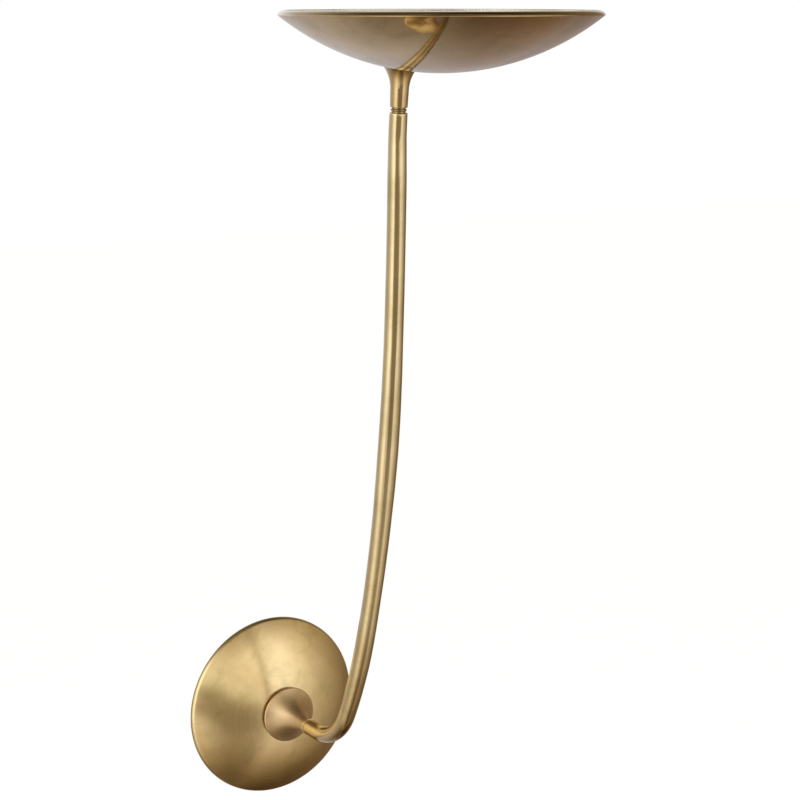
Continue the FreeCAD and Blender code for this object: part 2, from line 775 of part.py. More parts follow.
def make_saddle_washer():
    """Washer whose underside follows the inside of the bowl, so that the nut sits square on the leaning stud."""
    low, high = f"{NECK_TOP} - saddle_height / 2", f"{NECK_TOP} + saddle_height"
    corners = tube_corners("stud_radius + fit", "saddle_radius", low, high)
    blank = turned("saddle_blank", corners, NECK_FRAME)
    hollow = sphere("saddle_bowl", f"{CAP_RADIUS} - dish_wall", CAP_CENTRE)
    combine("Part::Common", "saddle_washer", blank, hollow)


def make_stud_nut():
    lift = FreeCAD.Placement(FreeCAD.Vector(0, 0, value(f"{NECK_TOP} + saddle_height")), FreeCAD.Rotation())
    place = NECK_FRAME.multiply(lift)
    hex_nut("stud_nut", "stud_nut_radius", "stud_nut_height", "stud_radius + fit", place)


# Head


def make_dish():
    """Spun cap of even wall, turned inwards at the rim in a short bowed lip, with one hole for the stud."""
    inner_cap = f"({CAP_RADIUS} - dish_wall)"
    lip_top = "(dish_depth + lip_height)"
    mouth = "(dish_radius - lip_inset)"
    corners = [
        ("0", "0"),
        ("dish_radius", "dish_depth", CAP_RADIUS, "left"),
        (mouth, lip_top, "lip_bow", "left"),
        (mouth, f"{lip_top} - dish_wall"),
        (inner_cap_radius_at("dish_depth"), "dish_depth", "lip_bow", "right"),
        ("0", "dish_wall", inner_cap, "right"),
    ]
    blank = turned("dish_blank", corners, DISH_FRAME)
    hole = cylinder("stud_hole", "stud_radius + fit", f"{NECK_TOP} + stud_above", NECK_FRAME)
    combine("Part::Cut", "dish", blank, hole)


def make_plate_pillars():
    """Pillars fixed in the bowl that carry the heat-spreader plate; their feet follow the bowl."""
    corners = tube_corners("plate_screw_radius + fit", "pillar_radius", "dish_wall", PLATE_HEIGHT)
    blank = ring_of_turned("pillar_blanks", corners, PILLAR_RING, "pillar_count", DISH_FRAME)
    hollow = sphere("pillar_bowl", f"{CAP_RADIUS} - dish_wall", CAP_CENTRE)
    combine("Part::Common", "plate_pillars", blank, hollow)


def make_heat_spreader():
    """Aluminium disc that takes the board's heat to the bowl, with holes for its screws and the grommet."""
    body = new_body("spreader_blank", DISH_FRAME)
    disc = sketch_on(body, "XY_Plane", "spreader_outline")
    bind(disc, **{"AttachmentOffset.Base.z": PLATE_HEIGHT})
    circle(disc, PLATE_RADIUS)
    circle(disc, "grommet_radius", "0", LEAD_OFFSET)
    padded(body, disc, "plate_thickness")
    drill_ring(body, "plate_screw_hole", "plate_screw_radius + fit", PILLAR_RING, "pillar_count")
    drill_ring(body, "board_screw_hole", "board_screw_radius + fit", BOARD_SCREW_RING, "board_screw_count")
    keep(body, "heat_spreader")


def drill_ring(body, name, radius, ring_radius, count):
    """Equal through holes on a circle, the first on the X axis."""
    sketch = sketch_on(body, "XY_Plane", name)
    bind(sketch, **{"AttachmentOffset.Base.z": PLATE_HEIGHT})
    circle(sketch, radius, ring_radius)
    cut = body.newObject("PartDesign::Pocket", name + "_cut")
    cut.Profile = sketch
    cut.Type = "ThroughAll"
    cut.Midplane = True
    pattern_on_ring(body, cut, count)


def make_led_board():
    body = new_body("led_board", DISH_FRAME)
    disc = sketch_on(body, "XY_Plane", "board_outline")
    bind(disc, **{"AttachmentOffset.Base.z": PLATE_TOP})
    circle(disc, BOARD_RADIUS)
    padded(body, disc, "board_thickness")
    drill_ring(body, "board_hole", "board_screw_radius + fit", BOARD_SCREW_RING, "board_screw_count")
    keep(body, "led_board")


def make_led_chips():
    """Square light chips in two rings on the board."""
    body = new_body("led_chips", DISH_FRAME)
    body.AllowCompound = True
    for ring, middle in (("outer", OUTER_CHIP_RING), ("inner", INNER_CHIP_RING)):
        sketch = sketch_on(body, "XY_Plane", ring + "_chip_outline")
        bind(sketch, **{"AttachmentOffset.Base.z": BOARD_TOP})
        half = "chip_side / 2"
        outline(sketch, box_corners(f"{middle} - {half}", f"{middle} + {half}", f"-{half}", half))
        pad = padded(body, sketch, "chip_height")
        pattern_on_ring(body, pad, f"{ring}_chip_count")
    keep(body, "led_chips")


def screw_corners(shank, head, seat, head_height, length):
    return [
        ("0", f"{seat} - {length}"),
        (shank, f"{seat} - {length}"),
        (shank, seat),
        (head, seat),
        (head, f"{seat} + {head_height}"),
        ("0", f"{seat} + {head_height}"),
    ]


def make_plate_screws():
    corners = screw_corners("plate_screw_radius", "plate_screw_head", PAN_FOOT_TOP, "plate_screw_head_height",
                            "plate_screw_length")
    keep(ring_of_turned("plate_screws", corners, PILLAR_RING, "pillar_count", DISH_FRAME), "plate_screws")


def make_board_screws():
    corners = screw_corners("board_screw_radius", "board_screw_head", BOARD_TOP, "board_screw_head_height",
                            "board_screw_length")
    keep(ring_of_turned("board_screws", corners, BOARD_SCREW_RING, "board_screw_count", DISH_FRAME),
         "board_screws")


def make_reflector_pan():
    """White pan: a flat foot under the plate screws, a sloping side and a flat shelf for the diffuser."""
    shelf_radius = "(" + inner_cap_radius_at(SHELF_HEIGHT) + " - running_gap)"
    shoulder_radius = f"({shelf_radius} - pan_shelf_width)"
    foot_inner = f"({PILLAR_RING} - pan_foot_width / 2)"
    foot_outer = f"({PILLAR_RING} + pan_foot_width / 2)"
    corners = [
        (foot_inner, PLATE_TOP),
        (foot_outer, PLATE_TOP),
        (shoulder_radius, SHELF_HEIGHT),
        (shelf_radius, SHELF_HEIGHT),
        (shelf_radius, f"{SHELF_HEIGHT} + pan_wall"),
        (f"{shoulder_radius} - pan_wall", f"{SHELF_HEIGHT} + pan_wall"),
        (f"{foot_outer} - pan_wall", PAN_FOOT_TOP),
        (foot_inner, PAN_FOOT_TOP),
    ]
    blank = turned("pan_blank", corners, DISH_FRAME)
    hole_corners = tube_corners("0", "plate_screw_radius + fit", PLATE_HEIGHT, f"{PAN_FOOT_TOP} + 1")
    holes = ring_of_turned("pan_holes", hole_corners, PILLAR_RING, "pillar_count", DISH_FRAME)
    combine("Part::Cut", "reflector_pan", blank, holes)


def make_diffuser():
    """Frosted disc that lies on the pan's shelf just below the lip's mouth and lifts straight out."""
    low = f"{SHELF_HEIGHT} + pan_wall"
    radius = "dish_radius - lip_inset - diffuser_gap"
    corners = [("0", low), (radius, low), (radius, f"{low} + diffuser_thickness"),
               ("0", f"{low} + diffuser_thickness")]
    keep(turned("diffuser", corners, DISH_FRAME), "diffuser")


# Wiring


def make_supply_lead():
    """Two-core lead from the box connector through nipple, bell, arm and neck to the terminal in the dish."""
    behind = "(nipple_behind + bush_flange + running_gap)"
    climb = f"({PLATE_TOP} - {SEAT_HEIGHT} - running_gap)"
    last_run = f"tip_run + {NECK_TOP} + {climb} / sin({ARM_CLIMB})"
    piped("supply_lead", f"-{behind}", f"{behind} + {ARM_START} + root_run", last_run, ("lead_radius",))


def make_plate_grommet():
    place = DISH_FRAME.multiply(FreeCAD.Placement(FreeCAD.Vector(0, value(LEAD_OFFSET), 0), FreeCAD.Rotation()))
    corners = [
        ("grommet_bore", f"{PLATE_HEIGHT} - grommet_flange_height"),
        ("grommet_radius + grommet_flange", f"{PLATE_HEIGHT} - grommet_flange_height"),
        ("grommet_radius + grommet_flange", PLATE_HEIGHT),
        ("grommet_radius - fit", PLATE_HEIGHT),
        ("grommet_radius - fit", PLATE_TOP),
        ("grommet_bore", PLATE_TOP),
    ]
    keep(turned("plate_grommet", corners, place), "plate_grommet")


def make_terminal_block():
    """Lamp-side terminal on the plate, over the lead."""
    block = doc.addObject("Part::Box", "terminal_block")
    bind(block, Length="terminal_length", Width="terminal_width", Height=TERMINAL_HEIGHT)
    corner = FreeCAD.Vector(-value("terminal_length") / 2, value(LEAD_OFFSET) - value("terminal_width") / 2,
                            value(PLATE_TOP))
    block.Placement = DISH_FRAME.multiply(FreeCAD.Placement(corner, FreeCAD.Rotation()))
    keep(block, "terminal_block")


def make_board_leads():
    """Two short insulated leads from the terminal block's side, bent down to the board."""
    place = DISH_FRAME.multiply(FreeCAD.Placement(
        FreeCAD.Vector(0, value(LEAD_OFFSET) - value("terminal_width") / 2, 0), FreeCAD.Rotation()))
    body = new_body("board_leads", place)
    body.AllowCompound = True
    side = "board_lead_spacing / 2"
    top = f"{BOARD_TOP} + board_lead_bend"
    route = sketch_on(body, "YZ_Plane", "board_lead_route")
    bind(route, **{"AttachmentOffset.Base.z": side})
    points = [FreeCAD.Vector(value(x), value(y), 0) for x, y in
              (("0", top), ("-board_lead_run", top), ("-(board_lead_run + board_lead_bend)", BOARD_TOP))]
    run = route.addGeometry(Part.LineSegment(points[0], points[1]))
    bend = route.addGeometry(arc_between(points[1], points[2], value("board_lead_bend"), True))
    route.addConstraint(Sketcher.Constraint("Tangent", run, 2, bend, 1))
    tie(route, "board_lead_bend", "Radius", bend)
    route.addConstraint(Sketcher.Constraint("Horizontal", run))
    pin(route, run, 1, "0", top)
    pin(route, bend, 2, "-(board_lead_run + board_lead_bend)", BOARD_TOP)
    section = sketch_on(body, "XZ_Plane", "board_lead_section")
    circle(section, "board_lead_radius", side, top)
    pipe = body.newObject("PartDesign::AdditivePipe", "board_lead_sweep")
    pipe.Profile = section
    pipe.Spine = (route, [])
    body.Tip = pipe
    doc.recompute()
    mirror = body.newObject("PartDesign::Mirrored", "board_lead_pair")
    mirror.Originals = [pipe]
    mirror.MirrorPlane = (origin_plane(body, "YZ_Plane"), [""])
    body.Tip = mirror
    keep(body, "board_leads")


def make_driver_parts():
    """Regulator block in the middle of the board with a small round capacitor on either side."""
    body = new_body("driver_parts", DISH_FRAME)
    body.AllowCompound = True
    block = sketch_on(body, "XY_Plane", "driver_outline")
    bind(block, **{"AttachmentOffset.Base.z": BOARD_TOP})
    half_length, half_width = "driver_length / 2", "driver_width / 2"
    outline(block, box_corners(f"-{half_width}", half_width, f"-{half_length}", half_length))
    padded(body, block, "driver_height")
    caps = sketch_on(body, "XY_Plane", "driver_caps")
    bind(caps, **{"AttachmentOffset.Base.z": BOARD_TOP})
    circle(caps, "driver_cap_radius", "driver_cap_offset")
    circle(caps, "driver_cap_radius", "-driver_cap_offset")
    padded(body, caps, "driver_cap_height")
    keep(body, "driver_parts")


def make_box_connector():
    """Supply-side connector that goes into the junction box on the end of the lead."""
    block = doc.addObject("Part::Box", "box_connector")
    bind(block, Length="connector_width", Width="connector_length", Height="connector_height")
    back = value("nipple_behind + bush_flange + running_gap")
    corner = FreeCAD.Vector(-value("connector_width") / 2, back, -value("connector_height") / 2)
    block.Placement = FreeCAD.Placement(corner, FreeCAD.Rotation())
    keep(block, "box_connector")


def check_document():
    """Stops on any failed feature or unsound sub-part."""
    doc.recompute()
    failed = [item.Name for item in doc.Objects if {"Invalid", "Error"} & set(item.State)]
    if failed:
        raise RuntimeError(f"failed features: {failed}")
    for name, item in nodes.items():
        if item.Shape.isNull() or not item.Shape.isValid() or not item.Shape.Solids:
            raise RuntimeError(f"{name} has no sound solid")


def write_parts():
    os.makedirs("parts", exist_ok=True)
    for name, item in nodes.items():
        item.Shape.exportStep(os.path.join("parts", name + ".step"))
        print(f"{name}: {len(item.Shape.Solids)} solid(s), {item.Shape.Volume:.1f} mm3")


for make in (
    make_wall_cover,
    make_mounting_bar,
    make_centre_nipple,
    make_lock_washer,
    make_lock_nut,
    make_nipple_bush,
    make_earth_screw,
    make_earth_lead,
    make_seat_ring,
    make_bell,
    make_joint_ring,
    make_root_spigot,
    make_arm_tube,
    make_neck_coupler,
    make_neck,
    make_neck_stud,
    make_saddle_washer,
    make_stud_nut,
    make_dish,
    make_plate_pillars,
    make_heat_spreader,
    make_led_board,
    make_led_chips,
    make_plate_screws,
    make_board_screws,
    make_reflector_pan,
    make_diffuser,
    make_supply_lead,
    make_plate_grommet,
    make_terminal_block,
    make_board_leads,
    make_driver_parts,
    make_box_connector,
):
    make()
check_document()
write_parts()
print(f"arm end: {arm_out:.2f} out, {arm_up:.2f} up, lean {arm_lean:.2f}; "
      f"dish: {dish_out:.2f} out, {dish_up:.2f} up, cap radius {cap_radius:.2f}")
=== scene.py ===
import math

import bmesh
import bpy
from mathutils import Matrix, Vector


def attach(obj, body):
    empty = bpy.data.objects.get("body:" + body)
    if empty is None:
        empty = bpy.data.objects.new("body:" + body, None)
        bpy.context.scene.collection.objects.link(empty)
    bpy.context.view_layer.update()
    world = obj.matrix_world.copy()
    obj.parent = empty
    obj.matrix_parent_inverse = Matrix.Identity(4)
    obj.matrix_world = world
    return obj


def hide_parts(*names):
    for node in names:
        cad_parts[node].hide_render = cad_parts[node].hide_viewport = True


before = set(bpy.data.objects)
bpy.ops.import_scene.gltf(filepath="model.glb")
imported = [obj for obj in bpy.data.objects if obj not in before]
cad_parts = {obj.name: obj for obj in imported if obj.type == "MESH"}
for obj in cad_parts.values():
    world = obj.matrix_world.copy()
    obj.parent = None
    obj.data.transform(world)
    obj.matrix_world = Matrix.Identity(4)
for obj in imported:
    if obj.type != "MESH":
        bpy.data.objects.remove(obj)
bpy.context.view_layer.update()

# ---------------------------------------------------------------------------------------------------------
# Camera. It stands to the left of the fixture, a little above the dish's rim, and looks slightly down, so
# that the dome is seen three-quarter on and the dish's rim almost edge on.
camera = bpy.data.objects.new("camera", bpy.data.cameras.new("camera"))
camera.data.sensor_width = 36.0
camera.data.lens = 93.72
camera.data.clip_start = 0.05
camera.location = (-0.6613, -1.2444, 0.4950)
camera.rotation_euler = (math.radians(90 - 11.09), 0, math.radians(-31.69))
bpy.context.collection.objects.link(camera)
bpy.context.scene.camera = camera
bpy.context.scene.view_settings.view_transform = "Standard"


# ---------------------------------------------------------------------------------------------------------
# Studio. A ring of large soft lights stands round the fixture, with a dim gap where the camera is. The light
# fades towards a darker foreground below, and what the camera sees past the object is a white sweep.
class Wire:
    """One output in a node tree. Sums and products of wires add Math nodes, or Vector Math for vectors."""

    def __init__(self, tree, socket=None):
        self.tree = tree
        self.socket = socket

    def node(self, kind, settings=None, values=None, output=0):
        """Adds any node: its settings first, then the values or wires of its sockets."""
        made = self.tree.nodes.new(kind)
        for name, setting in (settings or {}).items():
            if name == "stops":
                ramp = made.color_ramp.elements
                while len(ramp) < len(setting):
                    ramp.new(1.0)
                for stop, (place, colour) in zip(ramp, setting):
                    stop.position = place
                    stop.color = (*colour, 1.0)
            else:
                setattr(made, name, setting)
        for name, value in (values or {}).items():
            if isinstance(value, Wire):
                self.tree.links.new(value.socket, made.inputs[name])
            else:
                made.inputs[name].default_value = value
        return Wire(self.tree, made.outputs[output] if made.outputs else None)

    def work(self, operation, *others):
        """Math or Vector Math on this wire and others."""
        vector = self.socket.type == "VECTOR"
        kind = "ShaderNodeVectorMath" if vector else "ShaderNodeMath"
        others = [(other,) * 3 if vector and isinstance(other, (int, float)) else other for other in others]
        return self.node(kind, {"operation": operation}, dict(enumerate((self, *others))))

    def __add__(self, other):
        return self.work("ADD", other)

    def __mul__(self, other):
        return self.work("MULTIPLY", other)

    def __sub__(self, other):
        return self.work("SUBTRACT", other)

    __radd__ = __add__
    __rmul__ = __mul__

    def __rsub__(self, other):
        return (self * -1.0) + other

    def part(self, axis):
        """One coordinate of a vector."""
        return self.node("ShaderNodeSeparateXYZ", None, {0: self}, axis)

    def span(self, low, high, bottom=0.0, top=1.0):
        """This value's place between low and high, clamped, as a value from bottom to top."""
        return self.node("ShaderNodeMapRange", None,
                         {"Value": self, "From Min": low, "From Max": high, "To Min": bottom, "To Max": top})

    def choose(self, low, high):
        """Colour low where this value is 0 and high where it is 1."""
        return self.node("ShaderNodeMix", {"data_type": "RGBA"}, {0: self, 6: low, 7: high}, 2)


def ray_kinds(tree):
    """Whether a ray comes from the camera, off something glossy, or through something clear."""
    for kind in ("Is Camera Ray", "Is Glossy Ray", "Is Transmission Ray"):
        yield tree.node("ShaderNodeLightPath", output=kind)


WHITE = (1.0, 1.0, 1.0, 1.0)
world = bpy.data.worlds.new("studio")
bpy.context.scene.world = world
world.use_nodes = True
world.node_tree.nodes.clear()
studio = Wire(world.node_tree)
toward = studio.node("ShaderNodeTexCoord")
east, north, height = (toward.part(axis) for axis in range(3))
compass = east.work("ARCTAN2", north) * (0.5 / math.pi) + 0.5

# What stands round the fixture: straight out in the room at 0 and 1, to its left at 0.25, behind the wall at
# 0.5 and to its right at 0.75.
ring = compass.node("ShaderNodeValToRGB", {"stops": [
    (0.000, (1.04, 0.98, 0.86)), (0.060, (0.84, 0.79, 0.66)), (0.120, (0.90, 0.85, 0.73)),
    (0.155, (1.25, 1.20, 1.09)), (0.190, (1.60, 1.57, 1.50)), (0.235, (1.42, 1.37, 1.26)),
    (0.275, (0.98, 0.92, 0.78)), (0.330, (0.62, 0.56, 0.46)), (0.400, (0.60, 0.55, 0.50)),
    (0.470, (0.66, 0.64, 0.67)), (0.555, (0.70, 0.71, 0.79)), (0.600, (0.42, 0.36, 0.34)),
    (0.640, (0.26, 0.17, 0.10)), (0.740, (0.24, 0.17, 0.10)), (0.790, (0.44, 0.36, 0.24)),
    (0.850, (0.70, 0.63, 0.50)), (0.895, (1.04, 0.99, 0.89)), (0.930, (1.18, 1.17, 1.17)),
    (0.975, (1.22, 1.17, 1.07)), (1.000, (1.04, 0.98, 0.86)),
]}, {"Fac": compass})

# The dim gap where the camera stands. It is widest a little below eye level and closes upwards.
gap_middle = height.span(-0.42, 0.17, 0.028, 0.124)
gap_half = height.span(-0.34, -0.22, 0.058, 0.088) * height.span(-0.16, -0.02, 1.0, 0.40)
apart = ((compass - gap_middle + 0.5).work("FRACT") - 0.5).work("ABSOLUTE")
gap_fade = height.span(0.08, 0.22, 1.0, 0.0) * height.span(-0.62, -0.40, 0.5, 0.9)
gap = (gap_half - apart).span(-0.010, 0.010) * gap_fade
ring = gap.choose(ring, (0.26, 0.20, 0.12, 1.0))

# How the light falls off, from straight below (0) to straight above (1).
fall = height.work("ARCSINE").span(-math.pi / 2, math.pi / 2)
lift = fall.node("ShaderNodeValToRGB", {"stops": [
    (0.00, (0.18, 0.13, 0.08)), (0.10, (0.22, 0.16, 0.10)), (0.172, (0.38, 0.31, 0.22)),
    (0.217, (0.55, 0.47, 0.38)), (0.261, (0.71, 0.65, 0.58)), (0.306, (0.83, 0.79, 0.74)),
    (0.35, (0.89, 0.86, 0.85)), (0.44, (1.0, 1.0, 1.0)), (0.54, (1.16, 1.16, 1.16)),
    (0.68, (1.20, 1.19, 1.17)), (0.77, (0.62, 0.57, 0.48)), (0.84, (0.26, 0.22, 0.15)),
    (1.00, (0.20, 0.17, 0.10)),
]}, {"Fac": fall})
lit = studio.node("ShaderNodeMix", {"data_type": "RGBA", "blend_type": "MULTIPLY"},
                  {0: 1.0, 6: ring, 7: lift}, 2)

# The white sweep: all that the camera sees, and a band behind the fixture that shiny pieces mirror.
seen, shiny, through = ray_kinds(studio)
behind = north.span(0.55, 0.95) * height.span(-0.02, 0.12) * height.span(0.25, 0.45, 1.0, 0.0)
sweep = (seen + (shiny + through) * behind).work("MINIMUM", 1.0)
backdrop = studio.node("ShaderNodeBackground", None, {"Color": sweep.choose(lit, WHITE), "Strength": 1.0})
studio.node("ShaderNodeOutputWorld", None, {"Surface": backdrop})

soft_top = bpy.data.objects.new("soft_top", bpy.data.lights.new("soft_top", "AREA"))
soft_top.data.shape = "DISK"
soft_top.data.size = 1.4
soft_top.data.energy = 15.0
soft_top.location = (0.0, -0.3, 2.2)
soft_top.visible_glossy = False
bpy.context.collection.objects.link(soft_top)

# Floor of the studio, well below the fixture. It shows white, but keeps part of the fixture's soft shadow.
FLOOR_HALF, FLOOR_HEIGHT = 12.0, -1.2
floor_corners = [(x * FLOOR_HALF, y * FLOOR_HALF, FLOOR_HEIGHT)
                 for x, y in ((-1, -1), (1, -1), (1, 1), (-1, 1))]
floor_mesh = bpy.data.meshes.new("studio_floor")
floor_mesh.from_pydata(floor_corners, [], [(0, 1, 2, 3)])
floor = bpy.data.objects.new("studio_floor", floor_mesh)
bpy.context.collection.objects.link(floor)
floor_finish = bpy.data.materials.new("pale_floor")
floor_finish.use_nodes = True
floor_finish.node_tree.nodes.clear()
ground = Wire(floor_finish.node_tree)
seen, shiny, through = ray_kinds(ground)
share = (seen + shiny + through).work("MINIMUM", 1.0) * 0.8
paint = ground.node("ShaderNodeBsdfDiffuse", None, {"Color": (0.86, 0.86, 0.86, 1.0)})
glow = ground.node("ShaderNodeEmission", None, {"Color": (0.985, 0.99, 1.0, 1.0), "Strength": 1.15})
both = ground.node("ShaderNodeMixShader", None, {0: share, 1: paint, 2: glow})
ground.node("ShaderNodeOutputMaterial", None, {"Surface": both})
floor_mesh.materials.append(floor_finish)
floor.visible_glossy = False
floor.visible_shadow = False
floor.visible_diffuse = False

# ---------------------------------------------------------------------------------------------------------
# Wall cover. A 1 mm brass disc spun to a shallow dome, its edge turned down to stand on the wall, then aged,
# rubbed by hand and lacquered. Faint rings of the spinning still show, and painted shade darkens its edge.
MM = 0.001
WALL_AXIS = Matrix.Rotation(math.pi / 2, 4, "X")
COVER_RADIUS, COVER_DEPTH, COVER_EDGE, COVER_WALL, EDGE_ROUND = 63.5, 24.5, 2.0, 1.0, 4.0
TUBE_HOLE, SPIGOT_HOLE, CLEAR = 5.05, 4.05, 0.02
cover_rise = COVER_DEPTH - COVER_EDGE
DOME_RADIUS = (COVER_RADIUS**2 + cover_rise**2) / (2 * cover_rise)


def arc(centre, radius, start, finish, steps):
    """Points on an arc of a profile; angles in degrees from the radius axis."""
    for step in range(steps + 1):
        angle = math.radians(start + (finish - start) * step / steps)
        yield centre[0] + radius * math.cos(angle), centre[1] + radius * math.sin(angle)


def circle(segments):
    """Cosine and sine of evenly spaced turns."""
    for turn in range(segments):
        angle = 2 * math.pi * turn / segments
        yield math.cos(angle), math.sin(angle)


def skinned(name, rings, place=Matrix.Identity(4), closed=True):
    """A smooth skin with crisp corners through rings of (point in metres, way kept with the vertex)."""
    mesh = bpy.data.meshes.new(name)
    shell = bmesh.new()
    way = shell.verts.layers.float_vector.new("way")
    rows = []
    for ring in rings:
        row = []
        for point, along in ring:
            vert = shell.verts.new(point)
            vert[way] = along
            row.append(vert)
        rows.append(row)
    pairs = list(zip(rows, rows[1:]))
    if closed:
        pairs.append((rows[-1], rows[0]))
    for low, high in pairs:
        for turn in range(max(len(low), len(high))):
            after = turn + 1
            corners = [low[turn % len(low)], low[after % len(low)]]
            corners += [high[after % len(high)], high[turn % len(high)]]
            corners = list(dict.fromkeys(corners))
            if len(corners) > 2:
                shell.faces.new(corners)
    bmesh.ops.recalc_face_normals(shell, faces=shell.faces)
    shell.to_mesh(mesh)
    shell.free()
    for face in mesh.polygons:
        face.use_smooth = True
    mesh.set_sharp_from_angle(angle=math.radians(32))
    piece = bpy.data.objects.new(name, mesh)
    piece.matrix_world = place
    bpy.context.collection.objects.link(piece)
    return piece


def turned(name, profile, place, segments=256, closed=True):
    """A piece turned from a profile of (radius, height) in mm. Its vertices keep their turn and way."""
    rings, run = [], 0.0
    for number, (radius, height) in enumerate(profile):
        if number:
            run += math.dist(profile[number - 1], (radius, height)) * MM
        ring = [((radius * MM * c, radius * MM * s, height * MM), (c, s, run)) for c, s in circle(segments)]
        rings.append(ring if radius > 1e-6 else ring[:1])
    return skinned(name, rings, place, closed)


def new_finish(name):
    """A new material, its tree as a wire, and the wire of its object coordinates."""
    finish = bpy.data.materials.new(name)
    finish.use_nodes = True
    tree = Wire(finish.node_tree)
    return finish, tree, tree.node("ShaderNodeTexCoord", output="Object")


def set_shader(finish, wires, constants):
    """Joins wires to the sockets of a finish's shader and sets the sockets that stay constant."""
    shader = finish.node_tree.nodes["Principled BSDF"]
    for socket, wire in wires.items():
        finish.node_tree.links.new(wire.socket, shader.inputs[socket])
    for socket, constant in constants.items():
        shader.inputs[socket].default_value = constant
    return finish


def antique_brass(name, rough, lay="round", tone=(1.0, 1.0, 1.0), grain=1.0, brushed=0.0, coat=0.5,
                  stain=0.3, dark_run=None, inside=None):
    """Aged brass rubbed back by hand. Marks run round a turned piece, or along a drawn one. Along dark_run,
    a stretch of the profile in metres, the colour is painted dark; inside is the colour of the profile past
    it."""
    finish, brass, place = new_finish(name)
    way = brass.node("ShaderNodeAttribute", {"attribute_name": "way"}, None, "Vector")
    fine_way = way * ((1.5, 1.5, 2600.0) if lay == "round" else (160.0, 160.0, 9.0))
    hair = brass.node("ShaderNodeTexNoise", None, {"Vector": fine_way, "Scale": 1.0, "Detail": 4.0,
                                                   "Roughness": 0.65})
    cloud = brass.node("ShaderNodeTexNoise", None, {"Vector": place, "Scale": 34.0, "Detail": 3.0,
                                                    "Roughness": 0.55, "Distortion": 0.6})
    speck = brass.node("ShaderNodeTexNoise", None, {"Vector": place, "Scale": 420.0, "Detail": 2.0})
    patch = brass.node("ShaderNodeTexNoise", None, {"Vector": place, "Scale": 58.0, "Detail": 4.0,
                                                    "Roughness": 0.6, "Distortion": 0.8})
    dull, rubbed, olive = (tuple(part * share for part, share in zip(shade, tone)) + (1.0,)
                           for shade in ((0.46, 0.33, 0.16), (0.71, 0.565, 0.325), (0.36, 0.31, 0.135)))
    worn = cloud.span(0.3, 0.7, 0.55, 1.0) + (hair - 0.5) * (0.5 * grain) + (speck - 0.5) * 0.16
    colour = worn.span(0.2, 1.1).choose(dull, rubbed)
    colour = patch.span(0.50, 0.72, 0.0, stain).choose(colour, olive)
    # Painted dark band along dark_run: painted shade on the wall cover's edge, a darker band on the dish's
    # lip.
    if dark_run:
        run = way.part(2)
        start, finish_at = dark_run
        edge = run.span(start, start + 0.0005) * run.span(finish_at, finish_at + 0.0003, 1.0, 0.0)
        colour = edge.choose(colour, (0.32, 0.26, 0.11, 1.0))
        if inside:
            colour = run.span(finish_at, finish_at + 0.0004).choose(colour, inside)
    gloss = rough + (0.5 - cloud) * 0.10 + (hair - 0.5) * (0.10 * grain)
    bump = brass.node("ShaderNodeBump", None, {"Height": hair + speck * 0.4, "Strength": 0.07 * grain,
                                               "Distance": 0.00006})
    gloss = gloss.work("MAXIMUM", 0.05)
    return set_shader(finish, {"Base Color": colour, "Roughness": gloss, "Normal": bump},
                      {"Metallic": 1.0, "Coat Weight": coat, "Coat Roughness": 0.12, "Anisotropic": brushed,
                       "Anisotropic Rotation": 0.25})


def dress(piece, finish, slot, *nodes, body="fixture"):
    """Gives a piece its finish, lets it ride on its body and stand for its nodes."""
    piece.data.materials.clear()
    piece.data.materials.append(finish)
    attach(piece, body)
    if nodes:
        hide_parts(*nodes)


dome_half = math.degrees(math.asin(COVER_RADIUS / DOME_RADIUS))
apex_hole = math.degrees(math.asin(TUBE_HOLE / DOME_RADIUS))
dome_centre = (0.0, COVER_DEPTH - DOME_RADIUS)
round_centre = (COVER_RADIUS - EDGE_ROUND,
                dome_centre[1] + math.sqrt((DOME_RADIUS - EDGE_ROUND)**2 - (COVER_RADIUS - EDGE_ROUND)**2))
round_top = math.degrees(math.atan2(round_centre[1] - dome_centre[1], round_centre[0]))
outer = list(arc(dome_centre, DOME_RADIUS, 90 - apex_hole, round_top, 72))
outer += list(arc(round_centre, EDGE_ROUND, round_top, 0.0, 18))[1:]
inner = list(arc(dome_centre, DOME_RADIUS - COVER_WALL, 90 - dome_half + 1.4, 90 - apex_hole, 60))
edge = [(COVER_RADIUS - 0.1, 0.0), (COVER_RADIUS - COVER_WALL, 0.0)]
cover = turned("wall_cover_spun", outer + edge + inner, WALL_AXIS)
# The dark_run band is painted shade on the cover's turned-down edge.
dress(cover, antique_brass("antique_brass_cover", 0.25, tone=(1.14, 1.14, 1.10), grain=0.9, stain=0.35,
                           dark_run=(0.0640, 0.0670)), "antique_brass", "wall_cover")

# ---------------------------------------------------------------------------------------------------------
# Seat ring. A turned washer with its back cut to the dome, its brass toned dark as painted shade. It lifts
# the bell and leaves a shadow gap.
SEAT_RADIUS, BELL_BASE = 16.5, 25.0
seat_angle = math.degrees(math.asin(SEAT_RADIUS / DOME_RADIUS))
seat_back = list(arc(dome_centre, DOME_RADIUS + CLEAR, 90 - apex_hole, 90 - seat_angle, 16))
seat_front = [(SEAT_RADIUS, BELL_BASE - CLEAR), (TUBE_HOLE, BELL_BASE - CLEAR)]
seat = turned("seat_ring_turned", seat_back + seat_front, WALL_AXIS)
# Its dark tone is painted shade in the gap under the bell.
dress(seat, antique_brass("seat_brass_painted_shade", 0.38, tone=(0.34, 0.32, 0.30)), "dark_brass", "seat_ring")

